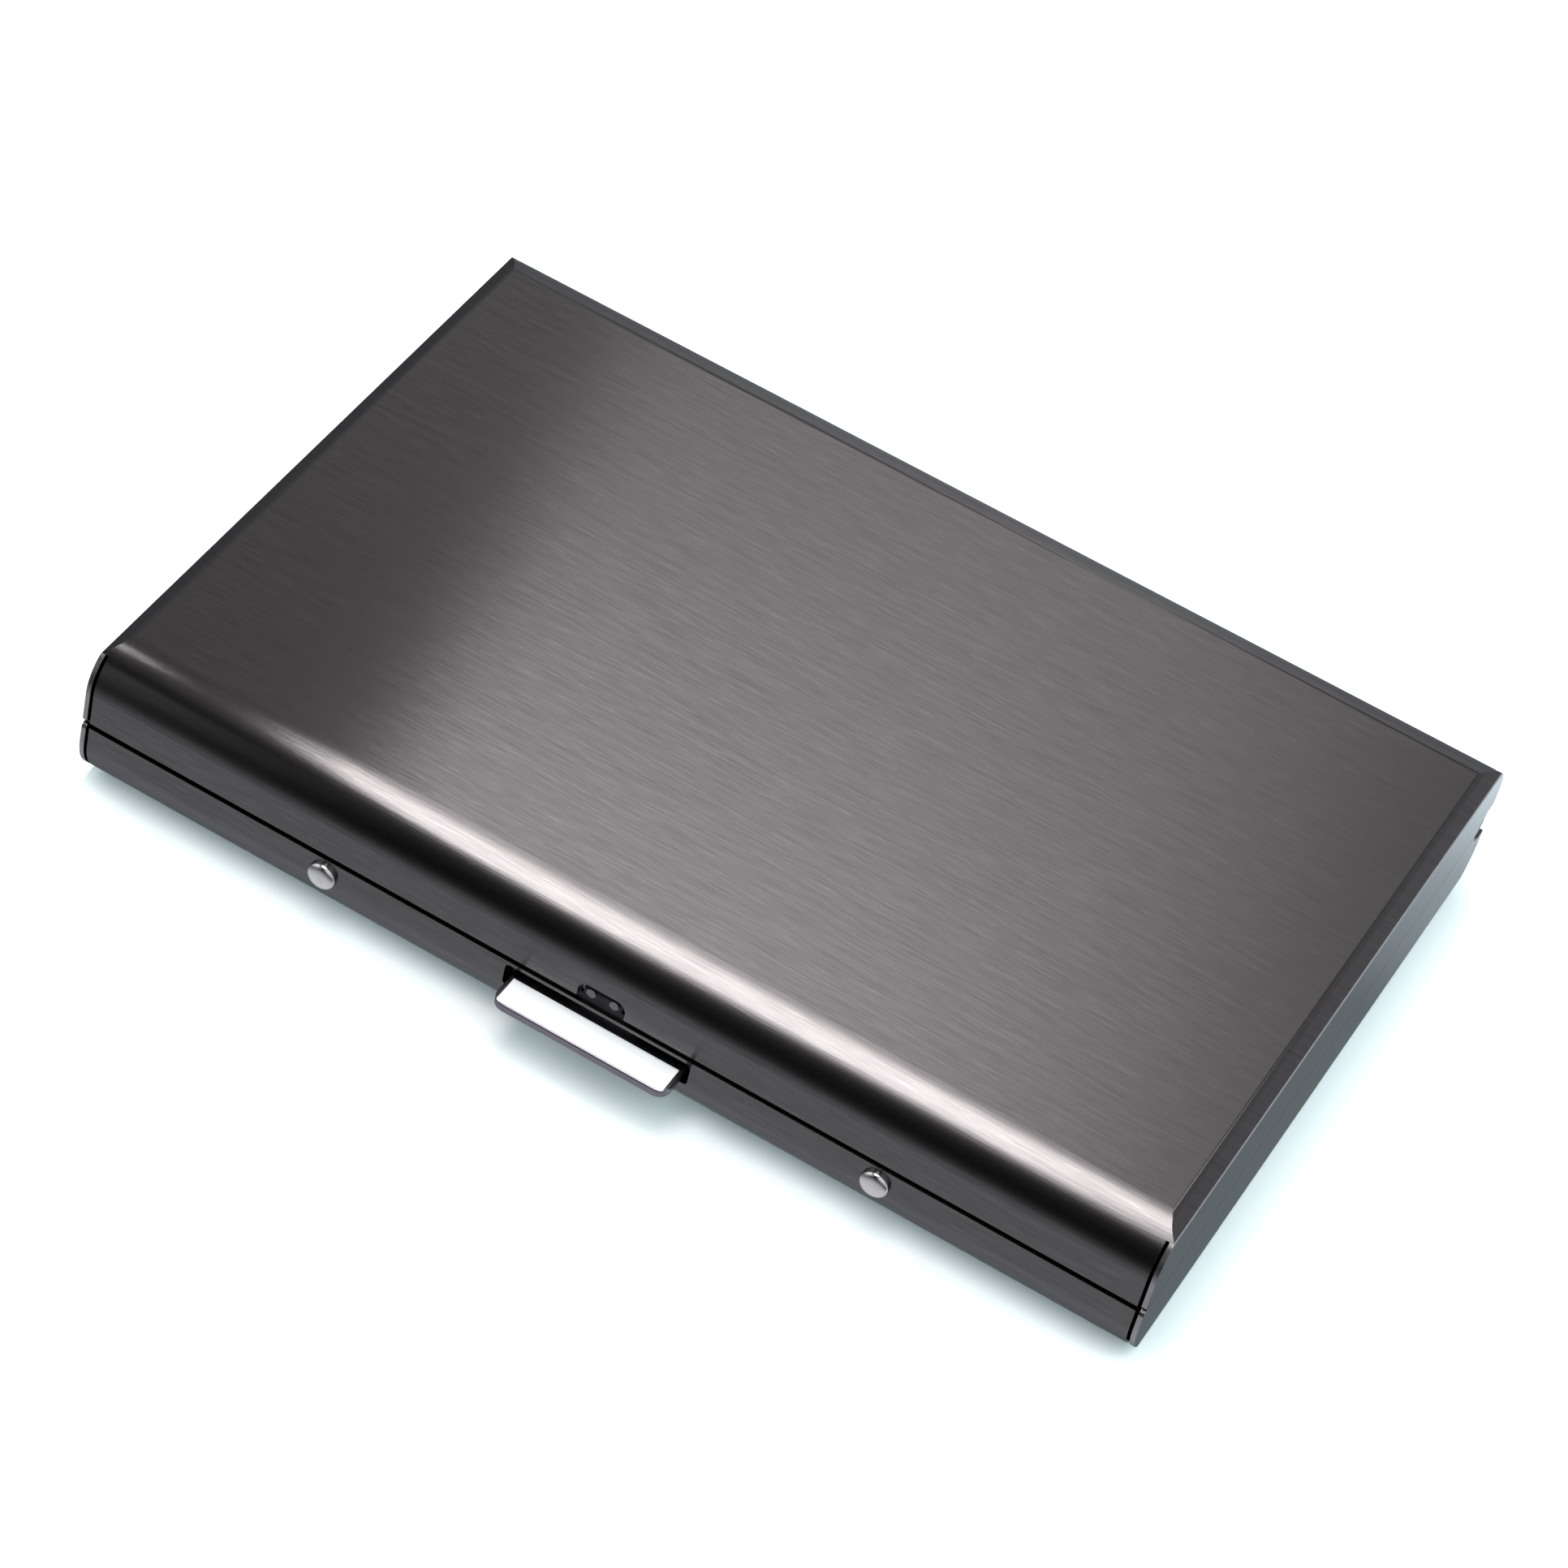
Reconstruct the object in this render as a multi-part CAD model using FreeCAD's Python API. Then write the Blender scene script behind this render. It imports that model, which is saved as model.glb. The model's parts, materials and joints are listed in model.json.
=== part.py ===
import FreeCAD, Part
import os
from FreeCAD import Vector

# Business card case: two folded steel shells, hinged along one long edge, with a thumb latch
# on the other and a fan of card pockets inside.
# Millimetres. Origin: centre of the flat underside. +X along the long edge, -Y the latch side, +Z up.

# ---- driving dimensions ----
case_width = 95.0        # X, over the two end flaps
case_depth = 64.6        # Y, front wall to rear wall
case_height = 14.3       # Z, closed
sheet = 0.4              # shell steel
roll_radius = 4.0        # outer radius of the rolled long edges
base_front_roll = 4.8    # the base's front edge is rolled a little larger
fold_width = 1.25        # bevelled fold at the short ends, measured along X
fold_drop = 0.8          # and along Z
fold_blend = 1.0         # outer radius where the fold leaves the flat face
fold_crease = 0.25       # outer radius of the crease between fold and end flap
seam_gap = 0.3           # gap between a rolled wall's cut end and the end flap
seam_reach = 3.2         # how far a seam runs inward from the wall's outer face
flap_corner = 0.6        # rounding of a flap's free corner at the parting line
parting_height = 7.0     # height of the split between the shells
parting_gap = 0.35       # gap between the closed shells' long walls
flap_gap = 0.06          # gap between the closed shells' end flaps

knuckle_radius = 1.3
knuckle_count = 9
knuckle_gap = 0.2        # gap between neighbouring knuckles
knuckle_bore = 0.76
knuckle_neck = 0.95      # distance from the hinge axis where a knuckle's neck begins
hinge_pin_radius = 0.7
hinge_clearance = 0.15   # around the knuckles
wall_relief = 1.6        # rear walls stop this far above and below the hinge axis
leaf_height = 1.35
leaf_end_gap = 0.25      # between a hinge leaf and the seam at either end
barrel_length = 94.8
hinge_pin_length = 94.0

tab_width = 15.6
tab_reach = 2.75         # tab's front edge beyond the front wall
tab_thickness = 0.8
tab_corner = 1.1
tab_rim = 0.15           # rounding of the tab's upper and lower edges
pivot_height = 4.8
pivot_inset = 2.0        # latch axis behind the front wall's outer face
latch_barrel_radius = 0.85
latch_barrel_length = 16.4
latch_bore = 0.40
latch_pin_radius = 0.35
latch_pin_head_radius = 0.6
latch_pin_head_length = 0.35
latch_pin_head_gap = 0.05
tongue_width = 6.0
tongue_thickness = 0.6
tongue_top = 8.4
tongue_corner = 0.8
hook_width = 3.4
hook_height = 0.9
hook_recess = 0.3        # hook's face behind the lid wall's outer face
hook_chamfer = 0.25
hook_rivet_spacing = 2.04
hook_rivet_radius = 0.3
hook_rivet_head_radius = 0.42
hook_rivet_head_height = 0.12
slot_width = 16.6        # opening for the tab in the base's front wall
slot_bottom = 4.15
slot_top = 6.3
slot_corner = 0.4
window_width = 4.2       # opening for the hook in the lid's front wall
window_top = 8.85
window_corner = 0.9
catch_width = 18.0
catch_top = 10.2
catch_corner = 1.0
catch_edge_gap = 0.03    # catch's lower edge above the lid wall's edge
catch_lip = 0.22         # strip of the catch below its window
catch_window_inset = 0.15    # catch's window narrower than the wall's, each side

bracket_sheet = 0.4
bracket_width = 58.0
bracket_top = 6.7
bracket_clearance = 0.05
bracket_notch_gap = 0.2  # between the latch barrel's end and the bracket's ear
bracket_notch_bottom = 3.6
ear_below = 1.0          # ear, measured from the latch axis
ear_above = 1.1
ear_behind = 1.0
rivet_spacing = 49.6
rivet_height = 5.05
rivet_head_radius = 1.25
rivet_head_height = 0.6
rivet_shank_radius = 0.65
rivet_tail_radius = 1.0
rivet_tail_height = 0.35
hole_clearance = 0.02    # on the radius, around rivets and the latch pin

spring_sheet = 0.2
spring_width = 5.0
spring_foot = 1.1        # height of the foot's underside, on the bracket
spring_foot_length = 0.8
spring_bend = 5.9        # height where the blade leans forward
spring_tip = 7.3
spring_knee_gap = 0.6    # blade in front of the pockets
spring_tip_gap = 0.05    # blade's tip behind the tongue

sleeve_count = 6
sleeve_width = 92.0
sleeve_front = -27.4
sleeve_rear = 28.3
sleeve_sheet = 0.3
sleeve_slot = 1.0        # room for the cards in one pocket
sleeve_rim = 0.8         # welded edge
sleeve_corner = 2.5
thumb_notch_radius = 9.0
thumb_notch_offset = 3.0     # notch's centre in front of the pocket's open edge
liner_sheet = 0.25
liner_overlap = 0.05     # glue line between a liner and its pocket
binding_sheet = 0.3
binding_width = 88.0
binding_gap = 0.05       # glue line between the pockets and the binding

# ---- worked out from the above ----
front = -case_depth / 2
rear = case_depth / 2
side = case_width / 2
inner_front = front + sheet
inner_rear = rear - sheet
hinge_y = rear - knuckle_radius
hinge_z = parting_height
pivot_y = front + pivot_inset
lid_edge = parting_height + parting_gap / 2
hook_front = front + hook_recess
hook_rear = pivot_y - tongue_thickness
hook_middle = tongue_top - hook_height / 2
hook_rivet_places = (-hook_rivet_spacing / 2, hook_rivet_spacing / 2)
rivet_places = (-rivet_spacing / 2, rivet_spacing / 2)
bracket_outer = base_front_roll - sheet - bracket_clearance
bracket_inner = bracket_outer - bracket_sheet
bracket_axis_y = front + base_front_roll
bracket_face = bracket_axis_y - bracket_inner
bracket_notch = latch_barrel_length / 2 + bracket_notch_gap
far = 200.0              # longer than anything here, for cutting tools
tiny = 1e-6
along_x = Vector(1, 0, 0)
along_y = Vector(0, 1, 0)
along_z = Vector(0, 0, 1)


def block(x0, x1, y0, y1, z0, z1):
    """Box between two corners."""
    return Part.makeBox(x1 - x0, y1 - y0, z1 - z0, Vector(x0, y0, z0))


def rod(x0, x1, y, z, radius):
    """Cylinder along X."""
    return Part.makeCylinder(radius, x1 - x0, Vector(x0, y, z), along_x)


def peg(x, y0, y1, z, radius):
    """Cylinder along Y."""
    return Part.makeCylinder(radius, y1 - y0, Vector(x, y0, z), along_y)


def edges_along(shape, axis):
    """Straight edges of a shape that run along one axis."""
    found = []
    for edge in shape.Edges:
        ends = edge.Vertexes
        step = ends[-1].Point - ends[0].Point
        if step.Length > tiny and step.cross(axis).Length < tiny * step.Length:
            found.append(edge)
    return found


def edges_at(shape, axis, places):
    """Straight edges along one axis whose middle is at one of the places."""
    found = []
    for edge in edges_along(shape, axis):
        if any((edge.CenterOfMass - place).Length < tiny for place in places):
            found.append(edge)
    return found


def rounded_block(corners, radius, axis):
    """Box with the four edges along one axis rounded."""
    solid = block(*corners)
    return solid.makeFillet(radius, edges_along(solid, axis))


def fuse_all(shapes):
    """One solid from touching or overlapping shapes."""
    return shapes[0].multiFuse(shapes[1:]).removeSplitter()


def extrude_profile(points, x0, x1):
    """Closed YZ outline, given as (y, z) points, extruded from x0 to x1."""
    corners = [Vector(x0, y, z) for y, z in points]
    face = Part.Face(Part.makePolygon(corners + corners[:1]))
    return face.extrude(Vector(x1 - x0, 0, 0))


# ---- shells ----

def rolled_form(inset):
    """Block shrunk by inset, with its four long edges rolled."""
    y = rear - inset
    z1 = case_height - inset
    form = block(-side + inset, side - inset, -y, y, inset, z1)
    others = [Vector(0, -y, z1), Vector(0, y, z1), Vector(0, y, inset)]
    form = form.makeFillet(roll_radius - inset, edges_at(form, along_x, others))
    base_front = edges_at(form, along_x, [Vector(0, -y, inset)])
    return form.makeFillet(base_front_roll - inset, base_front)


def folded_form(inset):
    """Block shrunk by inset, with a bevelled fold along each short edge."""
    slope = Vector(fold_drop, 0, fold_width).normalize()
    reach = slope.x * side + slope.z * (case_height - fold_drop) - inset
    x1 = side - inset
    z1 = case_height - inset
    x0 = (reach - slope.z * z1) / slope.x
    z0 = (reach - slope.x * x1) / slope.z
    blends = [(x0, z1), (x0, inset), (-x0, inset), (-x0, z1)]
    creases = [(x1, z0), (x1, case_height - z0), (-x1, case_height - z0), (-x1, z0)]
    outline = [blends[0], creases[0], creases[1], blends[1], blends[2], creases[2], creases[3], blends[3]]
    corners = [Vector(x, -far, z) for x, z in outline]
    form = Part.Face(Part.makePolygon(corners + corners[:1])).extrude(Vector(0, 2 * far, 0))
    blend_edges = edges_at(form, along_y, [Vector(x, 0, z) for x, z in blends])
    form = form.makeFillet(fold_blend - inset, blend_edges)
    if fold_crease > inset:
        crease_edges = edges_at(form, along_y, [Vector(x, 0, z) for x, z in creases])
        form = form.makeFillet(fold_crease - inset, crease_edges)
    return form


def case_form(inset):
    """Closed outline of the whole case, shrunk by inset: long edges rolled, short ends folded."""
    return rolled_form(inset).common(folded_form(inset))


def hinge_relief():
    """Space that the hinge barrel and the swing of the rear walls need."""
    barrel = rod(-far, far, hinge_y, hinge_z, knuckle_radius + hinge_clearance)
    slot = block(-far, far, hinge_y, far, hinge_z - wall_relief, hinge_z + wall_relief)
    return barrel.fuse(slot)


def end_seams():
    """Slits that part the rolled walls from the end flaps, up to where the folds begin."""
    slits = []
    for x in (-side + sheet, side - sheet - seam_gap):
        for y0, y1 in ((-far, front + seam_reach), (rear - seam_reach, far)):
            slits.append(block(x, x + seam_gap, y0, y1, fold_drop, case_height - fold_drop))
    return slits


def flap_corner_cuts(up):
    """Rounding of one shell's end flaps at their front corner on the parting line."""
    edge = parting_height + up * flap_gap / 2
    centre = edge + up * flap_corner
    square = block(-far, far, front - 1, front + flap_corner, min(edge, centre), max(edge, centre))
    square = square.cut(rod(-far, far, front + flap_corner, centre, flap_corner))
    return square.cut(block(-side + sheet, side - sheet, -far, far, -far, far))


def shell(up):
    """One half of the folded steel case. up is +1 for the lid and -1 for the base."""
    skin = case_form(0).cut(case_form(sheet))
    flap_z = sorted((parting_height + up * flap_gap / 2, up * far))
    wall_z = sorted((parting_height, parting_height + up * parting_gap / 2))
    skin = skin.common(block(-far, far, -far, far, *flap_z))
    skin = skin.cut(block(-side + sheet, side - sheet, -far, far, *wall_z))
    skin = skin.cut(hinge_relief())
    for slit in end_seams():
        skin = skin.cut(slit)
    return skin.cut(flap_corner_cuts(up))


def make_lid_shell():
    """Upper shell, with the hook's window open to the parting edge."""
    half = window_width / 2
    window = rounded_block((-half, half, front - 1, inner_front + sheet, parting_height - 1, window_top),
                           window_corner, along_y)
    return shell(1).cut(window)


def make_base_shell():
    """Lower shell, with the tab's slot and the two rivet holes in its front wall."""
    half = slot_width / 2
    slot = rounded_block((-half, half, front - 1, inner_front + sheet, slot_bottom, slot_top),
                         slot_corner, along_y)
    solid = shell(-1).cut(slot)
    for x in rivet_places:
        hole = peg(x, front - 1, inner_front + 1, rivet_height, rivet_shank_radius + hole_clearance)
        solid = solid.cut(hole)
    return solid


# ---- hinge ----

def make_hinge_leaf(up, first_knuckle):
    """Leaf against one rear wall's inner face, with every other knuckle from first_knuckle."""
    pitch = barrel_length / knuckle_count
    leaf_y0 = inner_rear - sheet
    plate_z = sorted((hinge_z + up * wall_relief, hinge_z + up * (wall_relief + leaf_height)))
    plate_half = side - sheet - seam_gap - leaf_end_gap
    pieces = [block(-plate_half, plate_half, leaf_y0, inner_rear, *plate_z)]
    neck_z = sorted((hinge_z + up * knuckle_neck, hinge_z + up * wall_relief))
    for index in range(first_knuckle, knuckle_count, 2):
        x0 = -barrel_length / 2 + index * pitch + knuckle_gap / 2
        x1 = x0 + pitch - knuckle_gap
        neck_x0 = max(x0, -plate_half)
        neck_x1 = min(x1, plate_half)
        pieces.append(rod(x0, x1, hinge_y, hinge_z, knuckle_radius))
        pieces.append(block(neck_x0, neck_x1, leaf_y0, inner_rear, *neck_z))
    return fuse_all(pieces).cut(rod(-far, far, hinge_y, hinge_z, knuckle_bore))


def make_hinge_pin():
    half = hinge_pin_length / 2
    return rod(-half, half, hinge_y, hinge_z, hinge_pin_radius)


# ---- latch ----

def make_latch_lever():
    """Thumb tab, pivot barrel and upright tongue."""
    half = tab_width / 2
    tab_bottom = pivot_height - tab_thickness / 2
    tab = block(-half, half, front - tab_reach, pivot_y, tab_bottom, tab_bottom + tab_thickness)
    corners = [edge for edge in edges_along(tab, along_z) if edge.CenterOfMass.y < front]
    tab = tab.makeFillet(tab_corner, corners)
    rim = [edge for edge in tab.Edges
           if edge.CenterOfMass.y < front - tab_rim and edge.BoundBox.ZLength < tiny]
    tab = tab.makeFillet(tab_rim, rim)
    half = tongue_width / 2
    tongue = block(-half, half, hook_rear, pivot_y, pivot_height, tongue_top)
    top_corners = [edge for edge in edges_along(tongue, along_y)
                   if edge.CenterOfMass.z > tongue_top - tiny]
    tongue = tongue.makeFillet(tongue_corner, top_corners)
    half = latch_barrel_length / 2
    barrel = rod(-half, half, pivot_y, pivot_height, latch_barrel_radius)
    lever = fuse_all([tab, tongue, barrel])
    lever = lever.cut(rod(-far, far, pivot_y, pivot_height, latch_bore))
    for x in hook_rivet_places:
        lever = lever.cut(peg(x, hook_rear - 1, pivot_y + 1, hook_middle, hook_rivet_radius))
    return lever


def make_latch_hook():
    """Nib at the tongue's top that reaches forward through the catch and into the lid's window."""
    half = hook_width / 2
    nib = block(-half, half, hook_front, hook_rear, tongue_top - hook_height, tongue_top)
    lead = edges_at(nib, along_x, [Vector(0, hook_front, tongue_top)])
    nib = nib.makeChamfer(hook_chamfer, lead)
    for x in hook_rivet_places:
        nib = nib.cut(peg(x, hook_front - 1, hook_rear + 1, hook_middle, hook_rivet_radius))
    return nib


def make_hook_rivets():
    """Two small rivets through hook and tongue."""
    rivets = []
    for x in hook_rivet_places:
        shank = peg(x, hook_front, pivot_y, hook_middle, hook_rivet_radius)
        head = peg(x, hook_front - hook_rivet_head_height, hook_front, hook_middle, hook_rivet_head_radius)
        tail = peg(x, pivot_y, pivot_y + hook_rivet_head_height, hook_middle, hook_rivet_head_radius)
        rivets.append(fuse_all([shank, head, tail]))
    return Part.makeCompound(rivets)


def make_latch_bracket():
    """Strip nested in the base's front roll, notched for the lever, with an ear at each side."""
    half = bracket_width / 2
    ring = rod(-half, half, bracket_axis_y, base_front_roll, bracket_outer)
    ring = ring.cut(rod(-far, far, bracket_axis_y, base_front_roll, bracket_inner))
    ring = ring.common(block(-far, far, -far, bracket_axis_y, -far, base_front_roll))
    flange_y = bracket_axis_y - bracket_outer
    flange = block(-half, half, flange_y, bracket_face, base_front_roll, bracket_top)
    strip = fuse_all([ring, flange])
    strip = strip.cut(block(-bracket_notch, bracket_notch, -far, bracket_axis_y, bracket_notch_bottom, far))
    pieces = [strip]
    ear_y = (flange_y + bracket_face) / 2
    for x in (-bracket_notch - bracket_sheet, bracket_notch):
        pieces.append(block(x, x + bracket_sheet, ear_y, pivot_y + ear_behind,
                            pivot_height - ear_below, pivot_height + ear_above))
    bracket = fuse_all(pieces)
    bracket = bracket.cut(rod(-far, far, pivot_y, pivot_height, latch_pin_radius + hole_clearance))
    for x in rivet_places:
        bracket = bracket.cut(peg(x, -far, 0, rivet_height, rivet_shank_radius + hole_clearance))
        bracket = bracket.cut(peg(x, bracket_face, 0, rivet_height, rivet_tail_radius + hole_clearance))
    return bracket


def make_latch_pin():
    """Axle of the latch, with a head outside each ear."""
    ear_face = bracket_notch + bracket_sheet
    end = ear_face + latch_pin_head_gap + latch_pin_head_length
    pieces = [rod(-end, end, pivot_y, pivot_height, latch_pin_radius)]
    for x in (-end, end - latch_pin_head_length):
        pieces.append(rod(x, x + latch_pin_head_length, pivot_y, pivot_height, latch_pin_head_radius))
    return fuse_all(pieces)


def make_latch_spring():
    """Leaf that stands behind the lever and presses its tongue forward."""
    knee_y = sleeve_front - spring_knee_gap
    foot_y = knee_y - spring_foot_length
    tip_y = pivot_y + spring_tip_gap
    profile = [
        (foot_y, spring_foot),
        (knee_y + spring_sheet, spring_foot),
        (knee_y + spring_sheet, spring_bend),
        (tip_y + spring_sheet, spring_tip),
        (tip_y, spring_tip - spring_sheet),
        (knee_y, spring_bend - spring_sheet),
        (knee_y, spring_foot + spring_sheet),
        (foot_y, spring_foot + spring_sheet),
    ]
    return extrude_profile(profile, -spring_width / 2, spring_width / 2)


def make_latch_rivets():
    """The two domed rivets that hold the bracket to the base's front wall."""
    dome_radius = (rivet_head_radius ** 2 + rivet_head_height ** 2) / (2 * rivet_head_height)
    rivets = []
    for x in rivet_places:
        centre = Vector(x, front - rivet_head_height + dome_radius, rivet_height)
        dome = Part.makeSphere(dome_radius, centre).common(block(-far, far, -far, front, -far, far))
        shank = peg(x, front, bracket_face, rivet_height, rivet_shank_radius)
        tail = peg(x, bracket_face, bracket_face + rivet_tail_height, rivet_height, rivet_tail_radius)
        rivets.append(fuse_all([dome, shank, tail]))
    return Part.makeCompound(rivets)


def make_lid_catch():
    """Plate behind the lid's window. Its own window is closed below, so the hook holds the lid."""
    half = catch_width / 2
    bottom = lid_edge + catch_edge_gap
    plate = block(-half, half, inner_front, inner_front + sheet, bottom, catch_top)
    top_corners = [edge for edge in edges_along(plate, along_y) if edge.CenterOfMass.z > catch_top - tiny]
    plate = plate.makeFillet(catch_corner, top_corners)
    half = window_width / 2 - catch_window_inset
    return plate.cut(block(-half, half, -far, far, bottom + catch_lip, window_top))


# ---- card pockets ----

def sleeve_bottom(index):
    """Height of a pocket's underside. index runs from 1 at the base."""
    thickness = 2 * sleeve_sheet + sleeve_slot
    lowest = sheet + liner_sheet + liner_overlap
    highest = case_height - lowest - thickness
    return lowest + (highest - lowest) * (index - 1) / (sleeve_count - 1)


def sleeve_panel(z):
    """Flat plastic sheet with rounded corners and a thumb notch in its open, front edge."""
    half = sleeve_width / 2
    panel = rounded_block((-half, half, sleeve_front, sleeve_rear, z, z + sleeve_sheet),
                          sleeve_corner, along_z)
    notch = Part.makeCylinder(thumb_notch_radius, 3 * sleeve_sheet,
                              Vector(0, sleeve_front - thumb_notch_offset, z - sleeve_sheet))
    return panel.cut(notch)


def sleeve_edge(z):
    """Welded edge between the two panels, on the rear and both ends."""
    half = sleeve_width / 2
    outline = rounded_block((-half, half, sleeve_front, sleeve_rear, z, z + sleeve_slot),
                            sleeve_corner, along_z)
    room = rounded_block((-half + sleeve_rim, half - sleeve_rim, -far, sleeve_rear - sleeve_rim, -far, far),
                         sleeve_corner - sleeve_rim, along_z)
    return outline.cut(room)


def make_binding():
    """Flexible strip along the pockets' rear edges."""
    z0 = sleeve_bottom(1)
    z1 = sleeve_bottom(sleeve_count) + 2 * sleeve_sheet + sleeve_slot
    y0 = sleeve_rear + binding_gap
    return block(-binding_width / 2, binding_width / 2, y0, y0 + binding_sheet, z0, z1)


def make_liner(z):
    half = sleeve_width / 2
    return rounded_block((-half, half, sleeve_front, sleeve_rear, z, z + liner_sheet),
                         sleeve_corner, along_z)


def build():
    """All nodes by name."""
    nodes = {
        "base_shell": make_base_shell(),
        "lid_shell": make_lid_shell(),
        "base_hinge_leaf": make_hinge_leaf(-1, 0),
        "lid_hinge_leaf": make_hinge_leaf(1, 1),
        "hinge_pin": make_hinge_pin(),
        "latch_lever": make_latch_lever(),
        "latch_hook": make_latch_hook(),
        "hook_rivets": make_hook_rivets(),
        "latch_bracket": make_latch_bracket(),
        "latch_pin": make_latch_pin(),
        "latch_spring": make_latch_spring(),
        "latch_rivets": make_latch_rivets(),
        "lid_catch": make_lid_catch(),
        "base_liner": make_liner(sheet),
        "lid_liner": make_liner(case_height - sheet - liner_sheet),
        "sleeve_binding": make_binding(),
    }
    for index in range(1, sleeve_count + 1):
        z = sleeve_bottom(index)
        name = f"card_sleeve_{index}"
        nodes[name + "_lower_panel"] = sleeve_panel(z)
        nodes[name + "_welded_edge"] = sleeve_edge(z + sleeve_sheet)
        nodes[name + "_upper_panel"] = sleeve_panel(z + sleeve_sheet + sleeve_slot)
    return nodes


os.makedirs("parts", exist_ok=True)
for node_name, shape in build().items():
    for solid in shape.Solids:
        if not solid.isValid():
            raise RuntimeError(node_name + " has an invalid solid")
    print(node_name, len(shape.Solids), round(shape.Volume, 3))
    shape.exportStep("parts/" + node_name + ".step")
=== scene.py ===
import json
import math
import bmesh
import bpy
from mathutils import Matrix, Vector
from mathutils.kdtree import KDTree

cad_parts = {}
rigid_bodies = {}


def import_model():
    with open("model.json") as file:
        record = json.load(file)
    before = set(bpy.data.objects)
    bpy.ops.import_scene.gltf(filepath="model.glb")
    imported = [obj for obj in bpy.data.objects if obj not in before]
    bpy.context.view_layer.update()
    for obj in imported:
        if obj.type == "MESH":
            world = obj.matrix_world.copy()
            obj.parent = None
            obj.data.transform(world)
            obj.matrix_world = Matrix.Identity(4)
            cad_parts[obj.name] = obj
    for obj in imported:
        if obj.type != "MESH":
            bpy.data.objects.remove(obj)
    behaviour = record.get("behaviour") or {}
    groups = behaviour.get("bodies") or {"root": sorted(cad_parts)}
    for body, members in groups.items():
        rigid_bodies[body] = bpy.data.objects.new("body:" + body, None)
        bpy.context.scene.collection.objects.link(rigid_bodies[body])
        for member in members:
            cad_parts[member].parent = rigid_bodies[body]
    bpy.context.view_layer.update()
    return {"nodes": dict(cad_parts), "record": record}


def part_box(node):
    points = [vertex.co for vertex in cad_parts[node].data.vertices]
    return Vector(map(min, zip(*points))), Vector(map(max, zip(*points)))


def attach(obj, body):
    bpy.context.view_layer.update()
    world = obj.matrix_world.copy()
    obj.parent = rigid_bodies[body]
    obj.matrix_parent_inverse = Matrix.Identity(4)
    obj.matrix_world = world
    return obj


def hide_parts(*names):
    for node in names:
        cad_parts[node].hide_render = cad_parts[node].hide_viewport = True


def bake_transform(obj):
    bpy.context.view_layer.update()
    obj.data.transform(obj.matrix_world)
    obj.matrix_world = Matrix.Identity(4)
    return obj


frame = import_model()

MM = 0.001      # shapes below are drawn in millimetres, Blender and the frame are in metres
nodes = frame["nodes"]
scene = bpy.context.scene
SLOTS = {row["node"]: row["material_slot"] for row in frame["record"]["subparts"]}


# ---- camera ----

CAMERA_PLACE = (95.767, -286.744, 306.901)      # millimetres
# In degrees: to the left of straight rearward, below the horizon, and anticlockwise about the view.
CAMERA_HEADING = 18.697279
CAMERA_DIP = 44.96444
CAMERA_ROLL = 14.931037
CAMERA_LENS = 122.17
CAMERA_SENSOR = 36.0


def make_camera():
    """Studio camera above the front right, rolled so that the case's long edge runs downhill."""
    data = bpy.data.cameras.new("camera")
    data.sensor_width = CAMERA_SENSOR
    data.lens = CAMERA_LENS
    data.clip_start = 0.01
    data.clip_end = 50.0
    cam = bpy.data.objects.new("camera", data)
    turns = ((CAMERA_HEADING, "Z"), (90.0 - CAMERA_DIP, "X"), (CAMERA_ROLL, "Z"))
    place = Matrix.Translation(Vector(CAMERA_PLACE) * MM)
    for degrees, axis in turns:
        place = place @ Matrix.Rotation(math.radians(degrees), 4, axis)
    cam.matrix_world = place
    scene.collection.objects.link(cam)
    scene.camera = cam


# ---- shader graphs ----

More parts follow.
